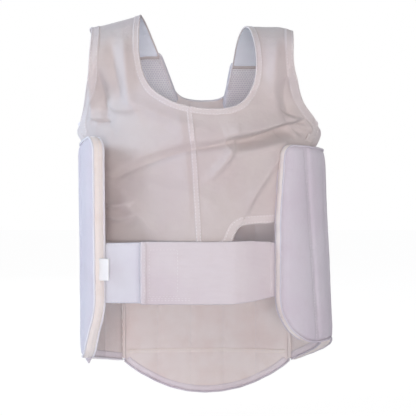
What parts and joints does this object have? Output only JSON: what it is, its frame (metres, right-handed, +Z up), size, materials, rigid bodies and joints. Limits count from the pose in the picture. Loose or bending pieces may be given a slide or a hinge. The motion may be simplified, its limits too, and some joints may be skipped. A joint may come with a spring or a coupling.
{
  "type": "chest protector",
  "caption": "White padded martial arts body protector with wrap-around side wings, loose back yoke, padded shoulder straps and an elastic waist band that closes over a tab with hook and loop",
  "frame": {"origin": "On the wearer's upright torso axis, level with the middle of the chest protector's height as seen", "axes": "+Z up; the wearer faces -Y, so the open back with its band faces +Y; +X is the wearer's left"},
  "size_m": [0.336, 0.2236, 0.5365],
  "materials": {
    "shell_cloth": "matte",
    "lining_cloth": "matte",
    "air_mesh": "matte",
    "binding_tape": "satin",
    "elastic": "matte",
    "hook_tape": "matte",
    "loop_tape": "matte",
    "label_cloth": "satin",
    "foam": "matte"
  },
  "bodies": {
    "vest": {"apron_cover": "shell_cloth", "apron_foam": "foam", "apron_lining": "lining_cloth", "armhole_binding_left": "binding_tape", "armhole_binding_right": "binding_tape", "back_neck_binding": "binding_tape", "back_strap_left": "shell_cloth", "back_strap_right": "shell_cloth", "centre_seam_tape": "binding_tape", "front_foam_1": "foam", "front_foam_2": "foam", "front_foam_3": "foam", "front_foam_4": "foam", "front_foam_5": "foam", "front_hem_binding": "binding_tape", "front_lining": "lining_cloth", "front_neck_binding": "binding_tape", "front_outer_cover": "shell_cloth", "front_strap_left": "shell_cloth", "front_strap_right": "shell_cloth", "shoulder_seam_left": "shell_cloth", "shoulder_seam_right": "shell_cloth", "strap_mesh_left": "air_mesh", "strap_mesh_right": "air_mesh", "underarm_gusset_left": "shell_cloth", "underarm_gusset_right": "shell_cloth", "yoke_hem_right": "binding_tape", "yoke_left": "shell_cloth", "yoke_right": "shell_cloth"},
    "left_wing": {"left_wing_cover": "shell_cloth", "left_wing_edge": "shell_cloth", "left_wing_foam_1": "foam", "left_wing_foam_2": "foam", "left_wing_foam_3": "foam", "left_wing_foam_4": "foam", "left_wing_inner_piping": "binding_tape", "left_wing_lining": "lining_cloth", "left_wing_outer_piping": "binding_tape"},
    "right_wing": {"band_anchor": "elastic", "right_wing_cover": "shell_cloth", "right_wing_edge": "shell_cloth", "right_wing_foam_1": "foam", "right_wing_foam_2": "foam", "right_wing_foam_3": "foam", "right_wing_foam_4": "foam", "right_wing_inner_piping": "binding_tape", "right_wing_lining": "lining_cloth", "right_wing_outer_piping": "binding_tape"},
    "waist_band": {"band_end_hem": "elastic", "elastic_band": "elastic", "hook_patch": "hook_tape"},
    "loop_tab": {"loop_patch": "loop_tape", "loop_tab_base": "shell_cloth"},
    "care_label_flap": {"care_label": "label_cloth"}
  },
  "joints": [
    {"name": "left_wing_flex", "type": "hinge", "parent": "vest", "child": "left_wing", "pos_m": [0.1204, -0.089, -0.055], "axis": [0, 0, -1], "range_deg": [0, 10], "stiffness_Nm_per_rad": 0.6},
    {"name": "right_wing_flex", "type": "hinge", "parent": "vest", "child": "right_wing", "pos_m": [-0.1245, -0.0892, -0.048], "axis": [0, 0, 1], "range_deg": [0, 12], "stiffness_Nm_per_rad": 0.6},
    {"name": "band_fold", "type": "hinge", "parent": "right_wing", "child": "waist_band", "pos_m": [-0.0832, 0.0785, -0.0795], "axis": [0, 0, 1], "range_deg": [0, 50]},
    {"name": "tab_flex", "type": "hinge", "parent": "left_wing", "child": "loop_tab", "pos_m": [0.1165, 0.0998, -0.0795], "axis": [0, 0, -1], "range_deg": [-10, 0]},
    {"name": "label_fold", "type": "hinge", "parent": "left_wing", "child": "care_label_flap", "pos_m": [0.129, 0.1019, -0.075], "axis": [0, 0, -1], "range_deg": [0, 80], "stiffness_Nm_per_rad": 0.0001}
  ],
  "couplings": [
    {"joint": "tab_flex", "follows": "left_wing_flex", "ratio": -1}
  ]
}
